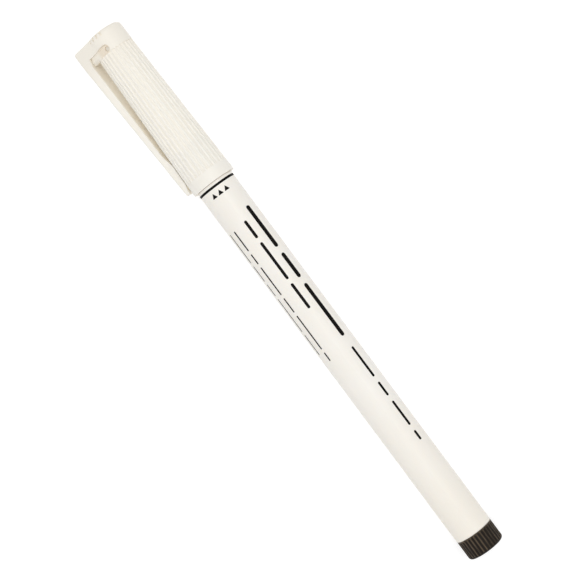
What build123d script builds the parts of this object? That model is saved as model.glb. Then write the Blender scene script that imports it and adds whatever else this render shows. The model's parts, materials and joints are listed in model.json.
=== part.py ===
from build123d import *
from math import acos, asin, atan2, cos, degrees, hypot, radians, sin
import os

# Capped fibre-tip correction pen, in millimetres. The pen lies along X: the middle of its flat back end is
# the origin, the cap points to +X, and the clip points to +Y and down, so that it lies on the table.

# Whole pen
overall_length = 140.0
cap_length = 40.8
plug_head_length = 4.8
barrel_diameter = 8.9
barrel_wall = 0.8
edge_break = 0.15
mouth_break = 0.05
cut_overrun = 1.0

# Clearances
press_gap = 0.02
nib_gap = 0.03
reservoir_gap = 0.05
seal_gap = 0.05
turn_gap = 0.05
hinge_gap = 0.05
snap_gap = 0.01
snap_relief = 0.04
stop_gap = 0.04
pad_gap = 0.1
web_gap = 0.12

# Barrel under the cap, with the bead that the cap clicks over, and the fins inside
cap_overlap = 8.0
seat_step = 0.3
mouth_clearance = 0.15
bead_length = 1.4
bead_setback = 4.2
fin_count = 6
fin_height = 0.27
fin_width = 0.5
fin_end_clearance = 2.0

# End plug
plug_stem_length = 7.0
plug_stem_wall = 1.0
plug_post_reach = 0.8
plug_post_width = 0.9
plug_inset = 0.05
plug_rib_count = 32
plug_rib_height = 0.16
plug_rib_radius = 0.24
plug_end_round = 0.7
plug_base_ring = 0.3

# Nose, nib and reservoir
nose_spigot_length = 9.0
nose_chamber_diameter = 4.8
nose_chamber_depth = 6.0
nose_flange_inset = 0.1
nose_flange_length = 1.0
nose_land_diameter = 6.4
nose_land_length = 5.5
nose_cone_length = 9.0
nose_tip_length = 3.0
nose_tip_diameter = 4.4
nib_diameter = 2.2
nib_point_diameter = 1.0
nib_point_length = 2.2
nib_tail_length = 8.0
sleeve_wall = 0.45
sleeve_grip_length = 5.5
sleeve_reach = 2.2
film_thickness = 0.1

# Cap
cap_mouth_wall = 0.68
cap_top_wall = 0.83
cap_end_wall = 1.4
cap_mouth_ring = 1.8
cap_step_gap = 0.4
cap_rim_length = 2.8
cap_rib_count = 28
cap_rib_height = 0.17
cap_rib_radius = 0.3
collar_height = 5.0
collar_proud = 0.04
crown_round = 1.1
crown_dish_diameter = 5.4
crown_dish_depth = 0.25
crown_notch_count = 4
crown_notch_width = 0.4
crown_notch_depth = 0.32
crown_notch_angle = 60.0
crown_notch_spread = 45.0
neck_height = 1.7
neck_depth = 0.45
neck_past_middle = 1.0
neck_flare = 0.6
neck_flare_depth = 0.5
web_depth = 1.1
web_bevel = 0.6
vent_diameter = 1.1

# Liner inside the cap
liner_wall = 0.35
liner_end_wall = 0.8
liner_end_bore_diameter = 5.9
liner_taper_length = 7.0
liner_lip_gap = 0.15
liner_bead_height = 0.12
liner_bead_length = 1.0
liner_bead_setback = 4.0

# Pocket clip and its root
clip_root_reach = 7.85
clip_tip_reach = 6.5
clip_root_width = 5.0
clip_tip_width = 3.8
clip_root_thickness = 2.25
clip_root_blend = 3.0
clip_heel_length = 1.4
clip_heel_depth = 0.5
clip_heel_blend = 1.2
clip_end_thickness = 0.8
clip_corner_radius = 0.6
clip_tip_round = 1.1
clip_tip_setback = 1.2
clip_flare_length = 2.6
clip_pad_length = 4.2
clip_pad_rise = 0.35
clip_pad_hollow = 0.45
clip_pad_ramp = 3.2
clip_pad_blend = 2.0
clip_nose_round = 0.35
clip_seam = 0.2
root_setback = 0.2
root_round = 0.5
hinge_depth = 1.3
hinge_reach = 6.4
knuckle_diameter = 1.4
knuckle_width = 3.0
hinge_web_thickness = 0.8
hinge_web_room = 0.25

# Stations along the pen
barrel_back_x = plug_head_length
cap_mouth_x = overall_length - cap_length
shoulder_x = cap_mouth_x - stop_gap
barrel_front_x = cap_mouth_x + cap_overlap
bead_x = barrel_front_x - bead_setback
plug_stem_x = barrel_back_x + plug_stem_length
reservoir_back_x = plug_stem_x + plug_post_reach
nose_back_x = barrel_front_x - nose_spigot_length
flange_x = barrel_front_x + nose_flange_length
land_x = flange_x + nose_land_length
cone_x = land_x + nose_cone_length
nose_tip_x = cone_x + nose_tip_length
sleeve_back_x = nose_tip_x - sleeve_grip_length
sleeve_front_x = nose_tip_x + sleeve_reach
nib_front_x = sleeve_front_x + nib_point_length
liner_lip_x = flange_x + liner_lip_gap
cap_step_x = flange_x + cap_step_gap
taper_start_x = land_x
taper_end_x = taper_start_x + liner_taper_length
cap_end_x = overall_length - cap_end_wall
liner_end_x = cap_end_x - turn_gap
liner_bead_x = liner_end_x - liner_bead_setback
rib_start_x = cap_mouth_x + cap_rim_length
ledge_x = overall_length - collar_height
root_low_x = ledge_x + neck_height
root_top_x = overall_length - root_setback
clip_top_x = root_low_x - clip_seam
clip_heel_x = clip_top_x - clip_heel_length
clip_tip_x = cap_mouth_x + clip_tip_setback

# Radii, from the barrel outwards
barrel_radius = barrel_diameter / 2
bore_radius = barrel_radius - barrel_wall
seat_radius = barrel_radius - seat_step
mouth_radius = seat_radius + mouth_clearance
bead_radius = mouth_radius - snap_gap
relief_radius = mouth_radius + snap_relief
fitted_radius = bore_radius - press_gap
wrap_radius = bore_radius - fin_height - reservoir_gap
core_radius = wrap_radius - film_thickness
nib_radius = nib_diameter / 2
nib_hole_radius = nib_radius + nib_gap
sleeve_radius = nib_hole_radius + sleeve_wall
land_radius = nose_land_diameter / 2
nose_tip_radius = nose_tip_diameter / 2
lip_radius = land_radius + seal_gap
lip_outer_radius = lip_radius + liner_wall
liner_end_radius = liner_end_bore_diameter / 2
liner_end_outer_radius = liner_end_radius + liner_wall
cap_lip_radius = lip_outer_radius + turn_gap
cap_end_radius = liner_end_outer_radius + turn_gap
mouth_valley_radius = relief_radius + cap_mouth_wall
rim_radius = mouth_valley_radius + cap_rib_height
top_valley_radius = cap_end_radius + cap_top_wall
top_crest_radius = top_valley_radius + cap_rib_height
collar_radius = top_crest_radius + collar_proud
neck_radius = top_valley_radius - neck_depth
plug_crest_radius = barrel_radius - plug_inset
knuckle_radius = knuckle_diameter / 2
clip_low_reach = clip_root_reach - clip_root_thickness
clip_heel_reach = clip_low_reach - clip_heel_depth

# The clip hangs as far below level as lets its lower corner and the rim of the cap touch one table.
corner_reach = clip_root_reach - clip_corner_radius
corner_side = clip_root_width / 2 - clip_corner_radius
corner_span = hypot(corner_reach, corner_side)
corner_lift = asin((rim_radius - clip_corner_radius) / corner_span)
clip_droop = degrees(corner_lift - atan2(corner_side, corner_reach))
flank_turn = atan2(corner_side, corner_reach) + acos((top_valley_radius - clip_corner_radius) / corner_span)
clip_direction = (0, cos(radians(clip_droop)), -sin(radians(clip_droop)))
hinge_direction = (0, sin(radians(clip_droop)), cos(radians(clip_droop)))
side_plane = Plane(origin=(0, 0, 0), x_dir=(1, 0, 0), z_dir=hinge_direction)
plan_plane = Plane(origin=(0, 0, 0), x_dir=(1, 0, 0), z_dir=clip_direction)


# A plane across the pen, whose own X points at the clip
def across(x):
    return Plane(origin=(x, 0, 0), x_dir=clip_direction, z_dir=(1, 0, 0))


# A round outline with ribs standing on it
def ribbed_outline(x, crest_radius, rib_height, rib_radius, rib_count):
    with BuildSketch(across(x)) as outline:
        Circle(crest_radius - rib_height)
        with PolarLocations(crest_radius - rib_radius, rib_count):
            Circle(rib_radius)
    return outline.sketch


# Section of the clip, from the axis of the pen out to its back with round corners
def clip_outline(x, reach, axis_width, back_width):
    with BuildSketch(across(x)) as outline:
        with BuildLine():
            FilletPolyline(
                (0, axis_width / 2),
                (reach, back_width / 2),
                (reach, -back_width / 2),
                (0, -axis_width / 2),
                radius=[0, clip_corner_radius, clip_corner_radius, 0],
                close=True,
            )
        make_face()
    return outline.sketch


# Outline of the clip's root round the collar, or a copy that lies further in at the collar and at the clip
def root_outline(x, collar_inset, clip_inset):
    with BuildSketch(across(x)) as outline:
        with BuildLine():
            CenterArc((0, 0), top_valley_radius - collar_inset, 0, 360)
            CenterArc((corner_reach, corner_side - clip_inset), clip_corner_radius, 0, 360)
            CenterArc((corner_reach, clip_inset - corner_side), clip_corner_radius, 0, 360)
        make_hull()
    return outline.sketch


# Width of the clip's root between its two flat flanks
def root_width_at(reach):
    return 2 * (top_valley_radius - reach * cos(flank_turn)) / sin(flank_turn)


# Round-ended outline of the recess under the root, on a plane that many millimetres beside the middle
def neck_outline(lift, height):
    with BuildSketch(side_plane.offset(lift)) as outline:
        with Locations((ledge_x + height / 2, height / 2 - neck_past_middle)):
            Circle(height / 2)
            Rectangle(height, clip_root_reach, align=(Align.CENTER, Align.MIN))
    return outline.sketch


# Radius of the rib crests along the cap
def crest_at(x):
    share = (x - rib_start_x) / (ledge_x - rib_start_x)
    return rim_radius + share * (top_crest_radius - rim_radius)


os.makedirs("parts", exist_ok=True)

# Barrel: a tube with a narrower seat for the cap and fins that hold the reservoir
with BuildPart() as barrel:
    with BuildSketch(Plane.XZ):
        with BuildLine():
            tube = Polyline(
                (barrel_back_x, bore_radius),
                (barrel_back_x, barrel_radius - edge_break),
                (barrel_back_x + edge_break, barrel_radius),
                (shoulder_x - mouth_break, barrel_radius),
                (shoulder_x, barrel_radius - mouth_break),
                (shoulder_x, seat_radius),
                (bead_x - bead_length / 2, seat_radius),
            )
            bead = ThreePointArc(
                tube @ 1,
                (bead_x, bead_radius),
                (bead_x + bead_length / 2, seat_radius),
            )
            Polyline(
                bead @ 1,
                (barrel_front_x - edge_break, seat_radius),
                (barrel_front_x, seat_radius - edge_break),
                (barrel_front_x, bore_radius),
                (barrel_back_x, bore_radius),
            )
        make_face()
    revolve(axis=Axis.X)
    fin_back_x = reservoir_back_x + fin_end_clearance
    fin_front_x = nose_back_x - fin_end_clearance
    fin_root_radius = bore_radius + barrel_wall / 2
    fin_depth = fin_height + barrel_wall / 2
    with BuildSketch(across(fin_back_x)):
        with PolarLocations(fin_root_radius - fin_depth / 2, fin_count):
            Rectangle(fin_depth, fin_width)
    extrude(amount=fin_front_x - fin_back_x)
barrel.part.label = "barrel"
export_step(barrel.part, "parts/barrel.step")

# End plug: a ribbed head, a hollow stem inside the barrel and a cross-shaped post behind the reservoir
with BuildPart() as end_plug:
    head = ribbed_outline(0, plug_crest_radius, plug_rib_height, plug_rib_radius, plug_rib_count)
    extrude(head, amount=plug_head_length)
    with BuildSketch(Plane.XZ):
        with BuildLine():
            flat_end = Line((0, 0), (0, plug_crest_radius - plug_end_round))
            rounded = RadiusArc(
                flat_end @ 1,
                (plug_end_round, plug_crest_radius),
                plug_end_round,
            )
            Polyline(
                rounded @ 1,
                (plug_head_length, plug_crest_radius),
                (plug_head_length, 0),
                (0, 0),
            )
        make_face()
    revolve(axis=Axis.X, mode=Mode.INTERSECT)
    with BuildSketch(across(plug_head_length - plug_base_ring)):
        Circle(plug_crest_radius)
    extrude(amount=plug_base_ring)
    with BuildSketch(across(barrel_back_x)):
        Circle(fitted_radius)
        Circle(fitted_radius - plug_stem_wall, mode=Mode.SUBTRACT)
    extrude(amount=plug_stem_length)
    post_span = 2 * fitted_radius - plug_stem_wall
    with BuildSketch(across(barrel_back_x)):
        Rectangle(post_span, plug_post_width)
        Rectangle(plug_post_width, post_span)
    extrude(amount=reservoir_back_x - barrel_back_x)
end_plug.part.label = "end_plug"
export_step(end_plug.part, "parts/end_plug.step")

# Nose: pressed into the barrel, with the land that the liner seals on and the seat of the nib
with BuildPart() as front_section:
    with BuildSketch(Plane.XZ):
        with BuildLine():
            flange_radius = seat_radius - nose_flange_inset
            Polyline(
                (nose_back_x, nose_chamber_diameter / 2),
                (nose_back_x, fitted_radius - edge_break),
                (nose_back_x + edge_break, fitted_radius),
                (barrel_front_x, fitted_radius),
                (barrel_front_x, flange_radius),
                (flange_x - edge_break, flange_radius),
                (flange_x, flange_radius - edge_break),
                (flange_x, land_radius),
                (land_x, land_radius),
                (cone_x, nose_tip_radius),
                (nose_tip_x - edge_break, nose_tip_radius),
                (nose_tip_x, nose_tip_radius - edge_break),
                (nose_tip_x, sleeve_radius + press_gap),
                (sleeve_back_x, sleeve_radius + press_gap),
                (sleeve_back_x, nib_hole_radius),
                (nose_back_x + nose_chamber_depth, nib_hole_radius),
                (nose_back_x + nose_chamber_depth, nose_chamber_diameter / 2),
                close=True,
            )
        make_face()
    revolve(axis=Axis.X)
front_section.part.label = "front_section"
export_step(front_section.part, "parts/front_section.step")

# Sleeve that holds the nib in the nose
with BuildPart() as nib_sleeve:
    with BuildSketch(Plane.XZ):
        with BuildLine():
            Polyline(
                (sleeve_back_x, nib_hole_radius),
                (sleeve_back_x, sleeve_radius),
                (sleeve_front_x - edge_break, sleeve_radius),
                (sleeve_front_x, sleeve_radius - edge_break),
                (sleeve_front_x, nib_hole_radius),
                close=True,
            )
        make_face()
    revolve(axis=Axis.X)
nib_sleeve.part.label = "nib_sleeve"
export_step(nib_sleeve.part, "parts/nib_sleeve.step")

# Nib: a fibre rod with a rounded point, whose tail is pushed into the reservoir
with BuildPart() as nib:
    point_radius = nib_point_diameter / 2
    nib_tail_x = nose_back_x - nib_tail_length
    with BuildSketch(Plane.XZ):
        with BuildLine():
            rod = Polyline(
                (nib_tail_x, 0),
                (nib_tail_x, nib_radius - edge_break),
                (nib_tail_x + edge_break, nib_radius),
                (sleeve_front_x, nib_radius),
                (nib_front_x - point_radius, point_radius),
            )
            tip = RadiusArc(rod @ 1, (nib_front_x, 0), point_radius)
            Line(tip @ 1, (nib_tail_x, 0))
        make_face()
    revolve(axis=Axis.X)
nib.part.label = "nib"
export_step(nib.part, "parts/nib.step")

# Reservoir: a fibre filler with a blind hole for the nib
with BuildPart() as reservoir_core:
    with BuildSketch(across(reservoir_back_x)):
        Circle(core_radius)
    extrude(amount=nose_back_x - reservoir_back_x)
    with BuildSketch(across(nib_tail_x - nib_gap)):
        Circle(nib_hole_radius)
    extrude(amount=nib_tail_length + nib_gap, mode=Mode.SUBTRACT)
reservoir_core.part.label = "reservoir_core"
export_step(reservoir_core.part, "parts/reservoir_core.step")

# Film round the filler
with BuildPart() as reservoir_wrap:
    with BuildSketch(across(reservoir_back_x)):
        Circle(wrap_radius)
        Circle(core_radius, mode=Mode.SUBTRACT)
    extrude(amount=nose_back_x - reservoir_back_x)
reservoir_wrap.part.label = "reservoir_wrap"
export_step(reservoir_wrap.part, "parts/reservoir_wrap.step")

# Liner: a soft cup that seals on the nose, with a bead that keeps it in the cap
with BuildPart() as inner_cap:
    with BuildSketch(Plane.XZ):
        with BuildLine():
            outside = Polyline(
                (liner_lip_x, lip_radius),
                (liner_lip_x, lip_outer_radius),
                (taper_start_x, lip_outer_radius),
                (taper_end_x, liner_end_outer_radius),
                (liner_bead_x - liner_bead_length / 2, liner_end_outer_radius),
            )
            ring = ThreePointArc(
                outside @ 1,
                (liner_bead_x, liner_end_outer_radius + liner_bead_height),
                (liner_bead_x + liner_bead_length / 2, liner_end_outer_radius),
            )
            Polyline(
                ring @ 1,
                (liner_end_x - edge_break, liner_end_outer_radius),
                (liner_end_x, liner_end_outer_radius - edge_break),
                (liner_end_x, 0),
                (liner_end_x - liner_end_wall, 0),
                (liner_end_x - liner_end_wall, liner_end_radius),
                (taper_end_x, liner_end_radius),
                (taper_start_x, lip_radius),
                (liner_lip_x, lip_radius),
            )
        make_face()
    revolve(axis=Axis.X)
inner_cap.part.label = "inner_cap"
export_step(inner_cap.part, "parts/inner_cap.step")

# Cutter for the notches in the rounded edge of the crown, on both sides of the clip
with BuildPart() as crown_notches:
    with BuildSketch(Plane.XZ):
        with Locations((overall_length - crown_round, collar_radius - crown_round)):
            Circle(crown_round + crown_notch_depth)
            Circle(crown_round - crown_notch_depth, mode=Mode.SUBTRACT)
            Rectangle(
                2 * crown_round,
                2 * crown_round,
                align=(Align.MIN, Align.MIN),
                mode=Mode.INTERSECT,
            )
    revolve(axis=Axis.X)
    with BuildSketch(across(ledge_x)):
        for side in (1, -1):
            with PolarLocations(
                collar_radius,
                crown_notch_count,
                start_angle=side * crown_notch_angle,
                angular_range=side * crown_notch_spread,
                endpoint=True,
            ):
                Rectangle(4 * crown_round, crown_notch_width)
    extrude(amount=collar_height + crown_notch_depth, mode=Mode.INTERSECT)

# Cutter for the recess under the root of the clip, with an air hole in its end and bevels on the rib ends
with BuildPart() as neck_recess:
    neck_end_reach = neck_height / 2 - neck_past_middle
    with BuildSketch(Plane.XZ):
        with BuildLine():
            Polyline(
                (ledge_x - cap_rib_height, collar_radius),
                (ledge_x, collar_radius),
                (ledge_x, top_valley_radius),
                close=True,
            )
        make_face()
    revolve(axis=Axis.X)
    with BuildSketch(side_plane):
        with Locations((ledge_x, neck_end_reach)):
            Rectangle(2 * cap_rib_height, clip_root_reach, align=(Align.CENTER, Align.MIN))
    extrude(amount=clip_root_reach, both=True, mode=Mode.INTERSECT)
    extrude(neck_outline(0, neck_height), amount=clip_root_reach, both=True)
    for side in (1, -1):
        slope_foot = neck_outline(side * (neck_radius - neck_flare_depth), neck_height)
        slope_top = neck_outline(side * (collar_radius + cut_overrun), neck_height + neck_flare)
        loft([slope_foot, slope_top], ruled=True)
    extrude(root_outline(ledge_x, neck_depth, web_depth), amount=collar_height, mode=Mode.SUBTRACT)
    with BuildSketch(side_plane):
        with Locations((ledge_x + neck_height / 2, neck_end_reach)):
            Circle(vent_diameter / 2)
    extrude(amount=collar_radius, both=True)

# Web that closes the gap between cap and clip under the root, with a slit in front of the clip's heel
with BuildPart() as root_web:
    web_foot = root_outline(ledge_x, neck_depth + web_bevel, web_depth + web_bevel)
    web_side = root_outline(ledge_x + web_bevel, neck_depth, web_depth)
    loft([web_foot, web_side], ruled=True)
    extrude(web_side, amount=neck_height - web_bevel)
    with BuildSketch(side_plane):
        with BuildLine():
            Polyline(
                (ledge_x, 0),
                (ledge_x, clip_low_reach - web_gap),
                (root_low_x, clip_heel_reach - web_gap),
                (root_low_x, 0),
                close=True,
            )
        make_face()
    extrude(amount=clip_root_reach, both=True, mode=Mode.INTERSECT)

# Cap: a ribbed taper, a smooth rim at the mouth, a collar with a crown, and the root of the clip
with BuildPart() as cap_shell:
    ribs_low = ribbed_outline(rib_start_x, rim_radius, cap_rib_height, cap_rib_radius, cap_rib_count)
    ribs_high = ribbed_outline(ledge_x, top_crest_radius, cap_rib_height, cap_rib_radius, cap_rib_count)
    loft([ribs_low, ribs_high], ruled=True)
    with BuildSketch(Plane.XZ):
        with BuildLine():
            Polyline(
                (cap_mouth_x, 0),
                (cap_mouth_x, rim_radius - mouth_break),
                (cap_mouth_x + mouth_break, rim_radius),
                (rib_start_x, rim_radius),
                (rib_start_x, 0),
                close=True,
            )
        make_face()
    revolve(axis=Axis.X)
    extrude(root_outline(root_low_x, 0, 0), amount=root_top_x - root_low_x)
    root_edges = cap_shell.faces().sort_by(Axis.X)[-1].edges()
    fillet(root_edges, radius=root_round)
    with BuildSketch(Plane.XZ):
        with BuildLine():
            collar_side = Polyline(
                (ledge_x, 0),
                (ledge_x, collar_radius),
                (overall_length - crown_round, collar_radius),
            )
            crown_edge = RadiusArc(
                collar_side @ 1,
                (overall_length, collar_radius - crown_round),
                crown_round,
            )
            Polyline(
                crown_edge @ 1,
                (overall_length, crown_dish_diameter / 2),
                (overall_length - crown_dish_depth, crown_dish_diameter / 2 - crown_dish_depth),
                (overall_length - crown_dish_depth, 0),
                (ledge_x, 0),
            )
        make_face()
    revolve(axis=Axis.X)
    add(crown_notches.part, mode=Mode.SUBTRACT)
    add(root_web.part)
    with BuildSketch(Plane.XZ):
        with BuildLine():
            mouth = Polyline(
                (cap_mouth_x - cut_overrun, 0),
                (cap_mouth_x - cut_overrun, mouth_radius),
                (cap_mouth_x + cap_mouth_ring, mouth_radius),
                (cap_mouth_x + cap_mouth_ring + snap_relief, relief_radius),
                (cap_step_x, relief_radius),
                (cap_step_x, cap_lip_radius),
                (taper_start_x, cap_lip_radius),
                (taper_end_x, cap_end_radius),
                (liner_bead_x - liner_bead_length / 2 - turn_gap, cap_end_radius),
            )
            groove = ThreePointArc(
                mouth @ 1,
                (liner_bead_x, cap_end_radius + liner_bead_height),
                (liner_bead_x + liner_bead_length / 2 + turn_gap, cap_end_radius),
            )
            Polyline(
                groove @ 1,
                (cap_end_x, cap_end_radius),
                (cap_end_x, 0),
                (cap_mouth_x - cut_overrun, 0),
            )
        make_face()
    revolve(axis=Axis.X, mode=Mode.SUBTRACT)
    add(neck_recess.part, mode=Mode.SUBTRACT)
    hinge_x = root_low_x + hinge_depth
    with BuildSketch(side_plane):
        with Locations((hinge_x, hinge_reach)):
            Circle(knuckle_radius + hinge_gap)
        with Locations((hinge_x - hinge_depth, hinge_reach)):
            Rectangle(2 * hinge_depth, hinge_web_thickness + 2 * hinge_web_room)
    extrude(amount=knuckle_width / 2 + hinge_gap, both=True, mode=Mode.SUBTRACT)
cap_shell.part.label = "cap_shell"
export_step(cap_shell.part, "parts/cap_shell.step")

# Pocket clip: a tapered blade with a contact pad and a turned-up tip, held by a knuckle in the collar
with BuildPart() as pocket_clip:
    pad_low_x = clip_tip_x + clip_flare_length
    pad_high_x = pad_low_x + clip_pad_length
    ramp_x = pad_high_x + clip_pad_ramp
    blend_x = clip_top_x - clip_root_blend
    blend_share = (blend_x - clip_tip_x) / (clip_top_x - clip_tip_x)
    blend_reach = clip_tip_reach + blend_share * (clip_root_reach - clip_tip_reach)
    blend_width = clip_tip_width + blend_share * (clip_root_width - clip_tip_width)
    clip_tip = clip_outline(clip_tip_x, clip_tip_reach, clip_tip_width, clip_tip_width)
    clip_blend = clip_outline(blend_x, blend_reach, blend_width, blend_width)
    clip_root = clip_outline(clip_top_x, clip_root_reach, root_width_at(0), root_width_at(clip_root_reach))
    loft([clip_tip, clip_blend, clip_root], ruled=True)
    with BuildSketch(side_plane):
        with BuildLine():
            FilletPolyline(
                (clip_top_x, clip_root_reach),
                (clip_top_x, clip_heel_reach),
                (clip_heel_x, clip_low_reach),
                (ramp_x, crest_at(ramp_x) + pad_gap + clip_pad_rise),
                (pad_high_x, crest_at(pad_high_x) + pad_gap - clip_pad_hollow),
                (pad_low_x, crest_at(pad_low_x) + pad_gap - clip_pad_hollow),
                (clip_tip_x, clip_tip_reach - clip_end_thickness),
                (clip_tip_x, clip_tip_reach),
                radius=[
                    0,
                    0,
                    clip_heel_blend,
                    clip_pad_blend,
                    clip_pad_blend,
                    clip_pad_blend,
                    clip_nose_round,
                    clip_nose_round,
                ],
                close=True,
            )
        make_face()
    extrude(amount=clip_root_width, both=True, mode=Mode.INTERSECT)
    with BuildSketch(plan_plane):
        with BuildLine():
            FilletPolyline(
                (clip_top_x, clip_root_width),
                (blend_x, blend_width / 2),
                (clip_tip_x, clip_tip_width / 2),
                (clip_tip_x, -clip_tip_width / 2),
                (blend_x, -blend_width / 2),
                (clip_top_x, -clip_root_width),
                radius=[0, 0, clip_tip_round, clip_tip_round, 0, 0],
                close=True,
            )
        make_face()
    extrude(amount=clip_root_reach + cut_overrun, mode=Mode.INTERSECT)
    with BuildSketch(Plane.XZ):
        with BuildLine():
            Polyline(
                (cap_mouth_x, 0),
                (cap_mouth_x, crest_at(cap_mouth_x) + pad_gap),
                (ledge_x, crest_at(ledge_x) + pad_gap),
                (ledge_x, 0),
                close=True,
            )
        make_face()
    revolve(axis=Axis.X, mode=Mode.SUBTRACT)
    with BuildSketch(side_plane):
        with Locations((hinge_x, hinge_reach)):
            Circle(knuckle_radius)
        with Locations((hinge_x - hinge_depth, hinge_reach)):
            Rectangle(2 * hinge_depth, hinge_web_thickness)
    extrude(amount=knuckle_width / 2, both=True)
pocket_clip.part.label = "pocket_clip"
export_step(pocket_clip.part, "parts/pocket_clip.step")
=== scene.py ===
import json
import math
import bmesh
import bpy
from mathutils import Matrix, Vector


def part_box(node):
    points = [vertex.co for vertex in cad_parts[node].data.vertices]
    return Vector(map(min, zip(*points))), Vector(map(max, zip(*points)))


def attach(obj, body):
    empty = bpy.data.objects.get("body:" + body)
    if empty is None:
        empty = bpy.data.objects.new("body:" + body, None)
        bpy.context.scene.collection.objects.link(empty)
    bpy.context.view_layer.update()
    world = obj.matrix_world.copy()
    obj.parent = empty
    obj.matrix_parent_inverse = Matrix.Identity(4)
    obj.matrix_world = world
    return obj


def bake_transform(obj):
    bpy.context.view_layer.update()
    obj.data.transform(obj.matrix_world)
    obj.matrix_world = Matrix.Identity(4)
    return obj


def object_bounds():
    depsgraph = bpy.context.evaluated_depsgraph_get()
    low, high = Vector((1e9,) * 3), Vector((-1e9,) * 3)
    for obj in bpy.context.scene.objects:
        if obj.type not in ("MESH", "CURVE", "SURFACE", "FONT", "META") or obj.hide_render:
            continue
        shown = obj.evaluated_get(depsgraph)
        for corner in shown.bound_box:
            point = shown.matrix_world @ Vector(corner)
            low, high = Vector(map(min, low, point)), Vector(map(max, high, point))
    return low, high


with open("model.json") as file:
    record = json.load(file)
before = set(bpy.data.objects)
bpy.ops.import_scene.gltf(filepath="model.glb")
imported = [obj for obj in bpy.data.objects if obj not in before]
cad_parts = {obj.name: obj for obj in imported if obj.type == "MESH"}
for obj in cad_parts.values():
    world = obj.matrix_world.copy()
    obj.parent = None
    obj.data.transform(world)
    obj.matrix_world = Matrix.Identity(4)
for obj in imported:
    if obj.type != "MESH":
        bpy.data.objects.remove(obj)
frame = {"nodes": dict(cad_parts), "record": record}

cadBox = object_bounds()  # box of the solids alone, before anything is added
mm = 0.001
nodes = frame["nodes"]
mounts = {mount["name"]: mount for mount in frame["record"]["mounts"]}
joints = {joint["name"]: joint for joint in frame["record"]["behaviour"]["joints"]}
barrelRadius = mounts["barrel_outside"]["dims"]["r_mm"] * mm
capLow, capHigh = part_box("cap_shell")
rimRadius = capHigh.z  # the smooth rim is the cap's widest ring
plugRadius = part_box("end_plug")[1].z
print("frame loaded with", len(nodes), "nodes")


# Small helpers for materials

noiseBand = (0.3, 0.7)  # where most values of a noise lie


def startMaterial(name, sockets):
    material = bpy.data.materials.new(name)
    material.use_nodes = True
    tree = material.node_tree
    shader = tree.nodes["Principled BSDF"]
    for socket, value in sockets.items():
        shader.inputs[socket].default_value = value
    return material, tree, shader


def addNode(tree, kind, inputs=None, **settings):
    node = tree.nodes.new(kind)
    for key, value in settings.items():
        setattr(node, key, value)
    for key, value in (inputs or {}).items():
        if hasattr(value, "is_linked"):
            tree.links.new(value, node.inputs[key])
        else:
            node.inputs[key].default_value = value
    return node


def objectPoint(tree, stretch=(1, 1, 1)):
    place = addNode(tree, "ShaderNodeTexCoord")
    settings = {"Vector": place.outputs["Object"], "Scale": stretch}
    return addNode(tree, "ShaderNodeMapping", settings).outputs["Vector"]


def lengthAlong(tree, point):
    return addNode(tree, "ShaderNodeSeparateXYZ", {0: point}).outputs["X"]


def distanceOut(tree, point):
    across = addNode(tree, "ShaderNodeVectorMath", {0: point, 1: (0, 1, 1)}, operation="MULTIPLY")
    length = addNode(tree, "ShaderNodeVectorMath", {0: across.outputs["Vector"]}, operation="LENGTH")
    return length.outputs["Value"]


def noise(tree, point, scale=1.0, detail=3.0, roughness=0.5):
    settings = {"Vector": point, "Scale": scale, "Detail": detail, "Roughness": roughness}
    return addNode(tree, "ShaderNodeTexNoise", settings).outputs["Fac"]


def remap(tree, value, low, high, newLow=0.0, newHigh=1.0):
    settings = {0: value, 1: low, 2: high, 3: newLow, 4: newHigh}
    return addNode(tree, "ShaderNodeMapRange", settings).outputs[0]


def spread(tree, value, newLow=0.0, newHigh=1.0):
    return remap(tree, value, *noiseBand, newLow, newHigh)


def calc(tree, operation, first, second):
    return addNode(tree, "ShaderNodeMath", {0: first, 1: second}, operation=operation).outputs[0]


def mixColours(tree, share, first, second):
    return addNode(tree, "ShaderNodeMix", {0: share, 6: first, 7: second}, data_type="RGBA").outputs[2]


def bump(tree, height, distance, strength):
    settings = {"Height": height, "Distance": distance, "Strength": strength}
    return addNode(tree, "ShaderNodeBump", settings).outputs["Normal"]


def wireUp(tree, shader, colour, roughness, normal):
    tree.links.new(colour, shader.inputs["Base Color"])
    tree.links.new(roughness, shader.inputs["Roughness"])
    tree.links.new(normal, shader.inputs["Normal"])


# In the finishes a noise is (scale, detail, roughness), a bump is (height, strength),
# and the sockets are what is the same all over a piece

# Cream cap plastic: satin, with warmer painted shade down in the grooves, in patches, painted shade over
# the collar and deeper painted shade in the recess by the clip

capFinish = {
    "crest": (0.910, 0.870, 0.790, 1),
    "cloud": (0.922, 0.890, 0.820, 1),
    "groove": (0.902, 0.856, 0.766, 1),
    "collar": (0.893, 0.847, 0.758, 1),
    "recess": (0.846, 0.758, 0.632, 1),
    "cloudNoise": (110.0, 4.0, 0.55),
    "grainNoise": (5200.0, 2.0),
    "grainBump": (0.012 * mm, 0.6),
    "roughness": (0.36, 0.50),
    "ribStart": 2.8 * mm,  # from the mouth of the cap
    "collarHeight": 5.0 * mm,  # from the end of the cap, as are the next two
    "rootReach": (10.0 * mm, 6.0 * mm),  # the wall thickens to the root, which lets no light in; over the same span the collar darkens with painted shade
    "crownEnd": 1.5 * mm,  # the end face gets no painted recess shade
    "topCrest": 4.35 * mm,  # radius over the ribs at the collar
    "grooveDepth": (0.034 * mm, 0.187 * mm),  # under the crests of the ribs
    "recessDepth": (0.25 * mm, 0.60 * mm),
    "patchBand": (0.25, 0.75),
    "patchShare": (0.55, 1.0),
    "collarShare": 0.85,
    "lightShare": 0.35,  # light that the thin wall lets in
    "sockets": {
        "Subsurface Radius": (1.0, 0.98, 0.92),
        "Subsurface Scale": 1.0 * mm,
        "IOR": 1.49,
        "Specular IOR Level": 0.35,
    },
}


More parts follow.
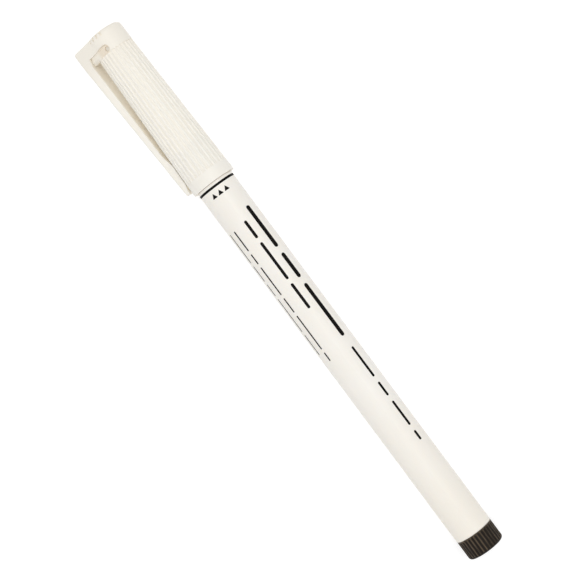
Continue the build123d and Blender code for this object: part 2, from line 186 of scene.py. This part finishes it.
def capCream():
    material, tree, shader = startMaterial("capCream", capFinish["sockets"])
    point = objectPoint(tree)
    along = lengthAlong(tree, point)
    cloud = noise(tree, point, *capFinish["cloudNoise"])
    grain = noise(tree, point, *capFinish["grainNoise"])
    ribEnds = (capLow.x + capFinish["ribStart"], capHigh.x - capFinish["collarHeight"])
    crest = remap(tree, along, *ribEnds, rimRadius, capFinish["topCrest"])
    depth = calc(tree, "SUBTRACT", crest, distanceOut(tree, point))
    colour = mixColours(tree, spread(tree, cloud), capFinish["crest"], capFinish["cloud"])
    # painted shade: warmer and darker down in the grooves, broken into patches by the cloud noise
    groove = remap(tree, depth, *capFinish["grooveDepth"])
    patches = remap(tree, cloud, *capFinish["patchBand"], *capFinish["patchShare"])
    colour = mixColours(tree, calc(tree, "MULTIPLY", groove, patches), colour, capFinish["groove"])
    rootEnds = [capHigh.x - reach for reach in capFinish["rootReach"]]
    # painted shade: the collar is darker and warmer from here to the end of the cap
    paintedCollarShade = remap(tree, along, *rootEnds, 0.0, capFinish["collarShare"])
    colour = mixColours(tree, paintedCollarShade, colour, capFinish["collar"])
    # painted shade: a deeper tint down in the recess and the hole by the clip, kept off the end face
    underCrown = calc(tree, "LESS_THAN", along, capHigh.x - capFinish["crownEnd"])
    paintedRecessShade = calc(tree, "MULTIPLY", remap(tree, depth, *capFinish["recessDepth"]), underCrown)
    colour = mixColours(tree, paintedRecessShade, colour, capFinish["recess"])
    roughness = spread(tree, grain, *capFinish["roughness"])
    wireUp(tree, shader, colour, roughness, bump(tree, grain, *capFinish["grainBump"]))
    lightIn = remap(tree, along, *rootEnds, capFinish["lightShare"], 0.0)
    tree.links.new(lightIn, shader.inputs["Subsurface Weight"])
    return material


# Barrel plastic: smoother, with faint draw lines along the tube, a few dark specks, and painted shade
# that darkens and warms it towards the plug

barrelFinish = {
    "base": (0.905, 0.868, 0.800, 1),
    "cloud": (0.921, 0.894, 0.844, 1),
    "plugEndShade": (0.902, 0.852, 0.764, 1),
    "speck": (0.66, 0.60, 0.50, 1),
    "cloudNoise": (75.0, 4.0, 0.55),
    "plugEndShadeEnds": (10.0 * mm, 45.0 * mm),  # painted shade, most near the plug, none further on
    "plugEndShadeShare": 0.8,
    "speckScale": 420.0,
    "speckSize": (0.022, 0.055),  # from its dark middle to its edge
    "speckShare": 0.7,
    "rareNoise": (300.0, 1.0),
    "rareBand": (0.60, 0.68),  # specks only where that noise is high
    "lineStretch": (30.0, 2600.0, 2600.0),
    "lineBump": (0.0025 * mm, 0.5),
    "roughness": (0.30, 0.44),
    "sockets": {
        "IOR": 1.49,
        "Specular IOR Level": 0.3,
        "Subsurface Weight": 0.1,
        "Subsurface Radius": (1.0, 0.85, 0.65),
        "Subsurface Scale": 0.5 * mm,
    },
}


def barrelWhite():
    material, tree, shader = startMaterial("barrelWhite", barrelFinish["sockets"])
    point = objectPoint(tree)
    cloud = noise(tree, point, *barrelFinish["cloudNoise"])
    colour = mixColours(tree, spread(tree, cloud), barrelFinish["base"], barrelFinish["cloud"])
    # painted shade: darker and warmer towards the plug
    along = lengthAlong(tree, point)
    plugEndShade = remap(tree, along, *barrelFinish["plugEndShadeEnds"], barrelFinish["plugEndShadeShare"], 0.0)
    colour = mixColours(tree, plugEndShade, colour, barrelFinish["plugEndShade"])
    cells = addNode(tree, "ShaderNodeTexVoronoi", {"Vector": point, "Scale": barrelFinish["speckScale"]})
    distance = cells.outputs["Distance"]
    speck = remap(tree, distance, *barrelFinish["speckSize"], barrelFinish["speckShare"], 0.0)
    rare = remap(tree, noise(tree, point, *barrelFinish["rareNoise"]), *barrelFinish["rareBand"])
    colour = mixColours(tree, calc(tree, "MULTIPLY", speck, rare), colour, barrelFinish["speck"])
    lines = noise(tree, objectPoint(tree, barrelFinish["lineStretch"]))
    roughness = spread(tree, lines, *barrelFinish["roughness"])
    wireUp(tree, shader, colour, roughness, bump(tree, lines, *barrelFinish["lineBump"]))
    return material


# Plug plastic: brownish black, with paler crests on its ribs, rubbed wear that also serves as painted
# highlight lines, and paler dust on the crests

plugFinish = {
    "base": (0.010, 0.006, 0.003, 1),
    "rubbedAndHighlight": (0.122, 0.088, 0.056, 1),
    "patches": (0.160, 0.130, 0.095, 1),
    "crestDepth": 0.112 * mm,  # of the rubbed part of a rib
    "streakStretch": (260.0, 1900.0, 1900.0),  # the paler crests, rubbed wear and painted highlight, run along the ribs and differ from rib to rib
    "streakNoise": (1.0, 2.0),
    "streakBand": (0.38, 0.68),
    "rubAndHighlightShare": (0.15, 1.0),
    "dustNoise": (2400.0, 2.0),
    "patchBand": (0.62, 0.75),
    "patchShare": 0.6,
    "glossNoise": (900.0, 4.0, 0.6),
    "grainNoise": (3800.0, 2.0),
    "grainBump": (0.015 * mm, 0.7),
    "roughness": (0.34, 0.55),
    "sockets": {"Specular IOR Level": 0.17},
}


def plugBlack():
    material, tree, shader = startMaterial("plugBlack", plugFinish["sockets"])
    point = objectPoint(tree)
    crest = remap(tree, distanceOut(tree, point), plugRadius - plugFinish["crestDepth"], plugRadius)
    # painted highlight and wear: paler streaks on the crests of the ribs
    streak = noise(tree, objectPoint(tree, plugFinish["streakStretch"]), *plugFinish["streakNoise"])
    rubAndHighlight = remap(tree, streak, *plugFinish["streakBand"], *plugFinish["rubAndHighlightShare"])
    rubAndHighlight = calc(tree, "MULTIPLY", crest, rubAndHighlight)
    colour = mixColours(tree, rubAndHighlight, plugFinish["base"], plugFinish["rubbedAndHighlight"])
    patches = noise(tree, point, *plugFinish["dustNoise"])
    patches = remap(tree, patches, *plugFinish["patchBand"], 0.0, plugFinish["patchShare"])
    colour = mixColours(tree, calc(tree, "MULTIPLY", crest, patches), colour, plugFinish["patches"])
    roughness = spread(tree, noise(tree, point, *plugFinish["glossNoise"]), *plugFinish["roughness"])
    grain = noise(tree, point, *plugFinish["grainNoise"])
    wireUp(tree, shader, colour, roughness, bump(tree, grain, *plugFinish["grainBump"]))
    return material


# Pale moulded pieces that show when the cap is off

paleFinish = {
    "cloudNoise": (260.0, 4.0, 0.55),
    "grainNoise": (4200.0, 2.0),
    "grainBump": (0.010 * mm, 0.5),
    "nosePale": {
        "base": (0.83, 0.80, 0.74, 1),
        "shade": (0.77, 0.74, 0.67, 1),
        "roughness": (0.38, 0.52),
    },
    "sleevePale": {
        "base": (0.72, 0.70, 0.66, 1),
        "shade": (0.65, 0.63, 0.58, 1),
        "roughness": (0.20, 0.32),
    },
    "linerWax": {
        "base": (0.84, 0.82, 0.77, 1),
        "shade": (0.78, 0.76, 0.69, 1),
        "roughness": (0.45, 0.60),
    },
}


def palePlastic(name):
    tones = paleFinish[name]
    material, tree, shader = startMaterial(name, {})
    point = objectPoint(tree)
    cloud = noise(tree, point, *paleFinish["cloudNoise"])
    grain = noise(tree, point, *paleFinish["grainNoise"])
    colour = mixColours(tree, spread(tree, cloud), tones["base"], tones["shade"])
    roughness = spread(tree, grain, *tones["roughness"])
    wireUp(tree, shader, colour, roughness, bump(tree, grain, *paleFinish["grainBump"]))
    return material


# Bonded fibre of the nib and the filler: fine strands along the pen

fibreFinish = {
    "strandLength": 14.0,  # times its thickness
    "strandNoise": (1.0, 3.0, 0.6),
    "strandBand": (0.62, 0.35),
    "roughness": (0.95, 0.75),
    "sockets": {"Sheen Weight": 0.25},
    "nibFibre": {
        "base": (0.84, 0.81, 0.73, 1),
        "strand": (0.66, 0.62, 0.53, 1),
        "scale": 5200.0,
        "strandBump": (0.05 * mm, 0.8),
    },
    "fillerFibre": {
        "base": (0.86, 0.85, 0.81, 1),
        "strand": (0.70, 0.69, 0.64, 1),
        "scale": 3000.0,
        "strandBump": (0.08 * mm, 0.8),
    },
}


def fibre(name):
    tones = fibreFinish[name]
    material, tree, shader = startMaterial(name, fibreFinish["sockets"])
    scale = tones["scale"]
    point = objectPoint(tree, (scale / fibreFinish["strandLength"], scale, scale))
    strands = noise(tree, point, *fibreFinish["strandNoise"])
    share = remap(tree, strands, *fibreFinish["strandBand"])
    colour = mixColours(tree, share, tones["base"], tones["strand"])
    roughness = spread(tree, strands, *fibreFinish["roughness"])
    wireUp(tree, shader, colour, roughness, bump(tree, strands, *tones["strandBump"]))
    return material


# Clear film round the filler, with painted glints along its ripples

filmFinish = {
    "base": (0.80, 0.83, 0.85, 1),
    "paintedGlint": (0.90, 0.92, 0.93, 1),
    "rippleStretch": (60.0, 500.0, 500.0),
    "rippleBump": (0.02 * mm, 0.4),
    "roughness": (0.08, 0.20),
    "sockets": {"Alpha": 0.45},
}


def filmClear():
    material, tree, shader = startMaterial("filmClear", filmFinish["sockets"])
    ripple = noise(tree, objectPoint(tree, filmFinish["rippleStretch"]))
    # painted glint: a brighter colour along the ripples
    colour = mixColours(tree, ripple, filmFinish["base"], filmFinish["paintedGlint"])
    roughness = spread(tree, ripple, *filmFinish["roughness"])
    wireUp(tree, shader, colour, roughness, bump(tree, ripple, *filmFinish["rippleBump"]))
    return material


# Black ink of the print

inkFinish = {
    "dark": (0.0015, 0.0013, 0.0012, 1),
    "worn": (0.006, 0.005, 0.0045, 1),
    "wornNoise": (1500.0, 4.0, 0.6),
    "grainNoise": (6000.0, 2.0),
    "grainBump": (0.004 * mm, 0.5),
    "roughness": (0.35, 0.55),
    "sockets": {"Specular IOR Level": 0.06},
}


def printInk():
    material, tree, shader = startMaterial("printInk", inkFinish["sockets"])
    point = objectPoint(tree)
    worn = noise(tree, point, *inkFinish["wornNoise"])
    grain = noise(tree, point, *inkFinish["grainNoise"])
    colour = mixColours(tree, worn, inkFinish["dark"], inkFinish["worn"])
    roughness = spread(tree, worn, *inkFinish["roughness"])
    wireUp(tree, shader, colour, roughness, bump(tree, grain, *inkFinish["grainBump"]))
    return material


capMaterial = capCream()
inkMaterial = printInk()
finishes = {
    "cap_shell": capMaterial,
    "pocket_clip": capMaterial,
    "barrel": barrelWhite(),
    "end_plug": plugBlack(),
    "front_section": palePlastic("nosePale"),
    "nib_sleeve": palePlastic("sleevePale"),
    "inner_cap": palePlastic("linerWax"),
    "nib": fibre("nibFibre"),
    "reservoir_core": fibre("fillerFibre"),
    "reservoir_wrap": filmClear(),
}
for nodeName, finish in finishes.items():
    nodes[nodeName].data.materials.clear()
    nodes[nodeName].data.materials.append(finish)
print("finishes on the pen's own pieces done")


# Small helpers for new pieces

def makeObject(name, bm, material):
    mesh = bpy.data.meshes.new(name)
    bm.to_mesh(mesh)
    bm.free()
    mesh.materials.append(material)
    piece = bpy.data.objects.new(name, mesh)
    bpy.context.scene.collection.objects.link(piece)
    return piece


def cutAcross(bm, place, direction):
    geometry = bm.verts[:] + bm.edges[:] + bm.faces[:]
    bmesh.ops.bisect_plane(bm, geom=geometry, plane_co=place, plane_no=direction)


# Print on the barrel: a ring below the cap, push marks beside it, and rows of plain dashes

printSet = {
    "ink": 0.012 * mm,  # how far the ink stands off the barrel
    "sunk": 0.006 * mm,  # and how deep it reaches in
    "weld": 0.001 * mm,
    "ringGap": 0.68 * mm,  # from the mouth of the cap to the ring
    "ringWidth": 0.54 * mm,
    "ringSteps": 160,
    "pushGap": 2.8 * mm,  # from the mouth of the cap to the middle of a push mark
    "pushSize": 0.75 * mm,
    "pushAngles": (-18.0, 3.0, 24.0),  # from the top towards the clip
    "pushCuts": (-0.5, -0.25, 0.0, 0.25, 0.5),
    "dashSteps": 28,
    "dashCuts": 6,  # lines along a dash that let it lie round the barrel
    # for each row the gap to the cap, the angle from the top,
    # and the height, gap and lengths of its dashes, in mm
    "rows": [
        (8.4, -37.0, 1.00, 1.7, (11.0, 6.5, 14.0)),
        (46.3, -37.0, 0.62, 1.5, (8.0, 3.6, 6.4, 2.4)),
        (10.8, -4.0, 0.66, 1.2, (4.6, 9.8, 6.6)),
        (11.3, 41.0, 0.34, 0.9, (5.2, 2.6, 7.4, 3.8, 9.0, 2.2)),
        (11.3, 66.0, 0.26, 0.9, (7.6, 4.0, 3.0, 8.8, 5.4)),
    ],
}
inkRadius = barrelRadius + printSet["ink"]


def finishPrint(name, bm):
    bmesh.ops.remove_doubles(bm, verts=bm.verts, dist=printSet["weld"])
    bmesh.ops.recalc_face_normals(bm, faces=bm.faces)
    piece = makeObject(name, bm, inkMaterial)
    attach(piece, "barrel")


def printRing():
    high = capLow.x - printSet["ringGap"]
    low = high - printSet["ringWidth"]
    inner = barrelRadius - printSet["sunk"]
    bm = bmesh.new()
    section = [(low, 0, inner), (low, 0, inkRadius), (high, 0, inkRadius), (high, 0, inner)]
    corners = [bm.verts.new(place) for place in section]
    edges = [bm.edges.new(pair) for pair in zip(corners, corners[1:] + corners[:1])]
    bmesh.ops.spin(bm, geom=corners + edges, cent=(0, 0, 0), axis=(1, 0, 0), angle=2 * math.pi,
                   steps=printSet["ringSteps"], use_merge=True)
    finishPrint("printRing", bm)


# Bends a flat mark round the barrel, gives it the ink's thickness and adds it to the others

def layOnBarrel(bm, mark, levels, x, angle):
    for level in levels:
        cutAcross(mark, (0, level, 0), (0, 1, 0))
    for v in mark.verts:
        turn = math.radians(angle) + v.co.y / barrelRadius
        v.co = (x + v.co.x, inkRadius * math.sin(turn), inkRadius * math.cos(turn))
    bmesh.ops.recalc_face_normals(mark, faces=mark.faces)
    outward = sum(f.normal.yz.dot(f.calc_center_median().yz) for f in mark.faces)
    if outward < 0:
        bmesh.ops.reverse_faces(mark, faces=mark.faces)
    bmesh.ops.solidify(mark, geom=mark.faces[:], thickness=printSet["ink"] + printSet["sunk"])
    mesh = bpy.data.meshes.new("mark")
    mark.to_mesh(mesh)
    mark.free()
    bm.from_mesh(mesh)
    bpy.data.meshes.remove(mesh)


def layDash(bm, x, angle, length, height):
    steps = printSet["dashSteps"]
    mark = bmesh.new()
    bmesh.ops.create_circle(mark, cap_ends=True, segments=steps, radius=height / 2)
    bmesh.ops.rotate(mark, verts=mark.verts, matrix=Matrix.Rotation(math.pi / steps, 3, "Z"))
    front = [v for v in mark.verts if v.co.x > 0]
    bmesh.ops.translate(mark, verts=front, vec=(length - height, 0, 0))
    cuts = printSet["dashCuts"]
    levels = [height * (cut / cuts - 0.5) for cut in range(1, cuts)]
    layOnBarrel(bm, mark, levels, x - length + height / 2, angle)


def layPushMark(bm, x, angle, size):
    mark = bmesh.new()
    bmesh.ops.create_circle(mark, cap_ends=True, segments=3, radius=size)
    bmesh.ops.rotate(mark, verts=mark.verts, matrix=Matrix.Rotation(-math.pi / 2, 3, "Z"))
    layOnBarrel(bm, mark, [share * size for share in printSet["pushCuts"]], x, angle)


def printMarks():
    bm = bmesh.new()
    for angle in printSet["pushAngles"]:
        layPushMark(bm, capLow.x - printSet["pushGap"], angle, printSet["pushSize"])
    for start, angle, height, gap, lengths in printSet["rows"]:
        x = capLow.x - start * mm
        for length in lengths:
            layDash(bm, x, angle, length * mm, height * mm)
            x -= (length + gap) * mm
    finishPrint("printMarks", bm)


printRing()
printMarks()
print("print on the barrel done")


# Bend at the root of the clip: the moulded skin that joins the blade to the collar

bendSet = {
    "low": 3.50 * mm,  # from the end of the cap down to the blade
    "high": 3.30 * mm,  # and to the collar
    "back": 7.85 * mm,  # from the axis of the pen to the clip's back
    "heel": 5.10 * mm,  # and to its inner side
    "backHalf": 2.371 * mm,  # half its width at the back
    "heelHalf": 3.052 * mm,  # and at its inner side
    "corner": 0.47 * mm,
    "cornerSteps": 10,
    "rings": 4,
    "tuck": 0.04 * mm,  # how far its ends reach in under blade and collar
}


def clipBend():
    side = -Vector(joints["clip_flex"]["axis"])
    out = side.cross(Vector((1, 0, 0)))
    low = capHigh.x - bendSet["low"]
    high = capHigh.x - bendSet["high"]
    tuck = bendSet["tuck"]
    bm = bmesh.new()
    bmesh.ops.create_grid(bm, x_segments=1, y_segments=1, size=1.0)
    backCorners = [v for v in bm.verts if v.co.x > 0]
    for v in bm.verts:
        reach = bendSet["back"] if v in backCorners else bendSet["heel"]
        half = bendSet["backHalf"] if v in backCorners else bendSet["heelHalf"]
        v.co = Vector((low - tuck, 0, 0)) + out * reach + side * math.copysign(half, v.co.y)
    bmesh.ops.bevel(bm, geom=backCorners, offset=bendSet["corner"], affect="VERTICES",
                    segments=bendSet["cornerSteps"], profile=0.5, material=-1)
    grown = bmesh.ops.extrude_face_region(bm, geom=bm.faces[:])["geom"]
    farEnd = [part for part in grown if isinstance(part, bmesh.types.BMVert)]
    bmesh.ops.translate(bm, verts=farEnd, vec=(high - low + 2 * tuck, 0, 0))
    for ring in range(bendSet["rings"] + 1):
        cutAcross(bm, (low + (high - low) * ring / bendSet["rings"], 0, 0), (1, 0, 0))
    ends = [v for v in bm.verts if not low - tuck / 2 < v.co.x < high + tuck / 2]
    middle = out * (bendSet["back"] + bendSet["heel"]) / 2
    drawnIn = 1 - tuck / bendSet["backHalf"]
    bmesh.ops.scale(bm, verts=ends, vec=(1, drawnIn, drawnIn), space=Matrix.Translation(-middle))
    bmesh.ops.recalc_face_normals(bm, faces=bm.faces)
    piece = makeObject("clipBend", bm, capMaterial)
    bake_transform(piece)


clipBend()
print("bend of the clip done")


# Camera straight above the pen, turned so that the cap is at the top left

cameraSet = {
    "aim": (71.25 * mm, 0.85 * mm),
    "distance": 387.5 * mm,
    "viewWidth": 125.3 * mm,
    "turn": -126.685,  # degrees about the vertical
    "sensor": 36.0,
}


def addCamera():
    data = bpy.data.cameras.new("photoCamera")
    data.sensor_width = cameraSet["sensor"]
    data.lens = cameraSet["sensor"] * cameraSet["distance"] / cameraSet["viewWidth"]
    camera = bpy.data.objects.new("photoCamera", data)
    bpy.context.scene.collection.objects.link(camera)
    camera.location = (*cameraSet["aim"], cameraSet["distance"])
    camera.rotation_euler = (0, 0, math.radians(cameraSet["turn"]))
    bpy.context.scene.camera = camera


addCamera()


# White table, even studio light, a soft key from above and a weak fill from the clip's side

lightSet = {
    "zenith": 0.99,  # strength of the dome overhead
    "horizon": 0.39,  # and at the horizon
    "keyPower": 1.20,
    "keySize": 0.45,
    "keyFrom": (0.07, -0.09, 0.74),
    "fillPower": 0.20,
    "fillSize": 0.6,
    "fillFrom": (0.00, 0.55, 0.45),
    "tableGlow": 0.36,  # light that the table gives from below
    "tableLift": 0.58,  # and what it gives where it is seen
    "tableHalf": 2.0,
    "tableCells": 8,
    "tableSockets": {
        "Base Color": (0.56, 0.56, 0.56, 1),
        "Roughness": 0.9,
        "Specular IOR Level": 0.1,
        "Emission Color": (1, 1, 1, 1),
    },
    "bounces": 10,  # pale plastic passes light on deep into the gap by the clip
}


def whiteForView(tree):
    path = addNode(tree, "ShaderNodeLightPath")
    seen = calc(tree, "ADD", path.outputs["Is Camera Ray"], path.outputs["Is Glossy Ray"])
    seen = calc(tree, "ADD", seen, path.outputs["Is Transmission Ray"])
    return calc(tree, "MINIMUM", seen, 1.0)


def addWorld():
    world = bpy.data.worlds.new("studio")
    bpy.context.scene.world = world
    world.use_nodes = True
    tree = world.node_tree
    dome = tree.nodes["Background"]
    dome.inputs["Color"].default_value = (1, 1, 1, 1)
    place = addNode(tree, "ShaderNodeTexCoord")
    height = addNode(tree, "ShaderNodeSeparateXYZ", {0: place.outputs["Generated"]}).outputs["Z"]
    light = remap(tree, height, 0.0, 1.0, lightSet["horizon"], lightSet["zenith"])
    seen = addNode(tree, "ShaderNodeMix", {0: whiteForView(tree), 2: light, 3: 1.0}, data_type="FLOAT")
    tree.links.new(seen.outputs[0], dome.inputs["Strength"])


def addLamp(name, start, size, power):
    data = bpy.data.lights.new(name, "AREA")
    data.shape = "DISK"
    data.size = size
    data.energy = power
    lamp = bpy.data.objects.new(name, data)
    bpy.context.scene.collection.objects.link(lamp)
    middle = (cadBox[0] + cadBox[1]) / 2
    lamp.location = middle + Vector(start)
    lamp.rotation_euler = (-Vector(start)).to_track_quat("-Z", "Y").to_euler()


def addTable():
    cells = lightSet["tableCells"]
    bm = bmesh.new()
    bmesh.ops.create_grid(bm, x_segments=cells, y_segments=cells, size=lightSet["tableHalf"])
    bmesh.ops.translate(bm, verts=bm.verts, vec=(0, 0, cadBox[0].z))
    material, tree, shader = startMaterial("tableWhite", lightSet["tableSockets"])
    lift = remap(tree, whiteForView(tree), 0.0, 1.0, lightSet["tableGlow"], lightSet["tableLift"])
    tree.links.new(lift, shader.inputs["Emission Strength"])
    makeObject("tableTop", bm, material)


addWorld()
addLamp("keyLamp", lightSet["keyFrom"], lightSet["keySize"], lightSet["keyPower"])
addLamp("fillLamp", lightSet["fillFrom"], lightSet["fillSize"], lightSet["fillPower"])
addTable()
bpy.context.scene.view_settings.view_transform = "Standard"
bpy.context.scene.cycles.diffuse_bounces = lightSet["bounces"]
print("camera, lamps and table done")
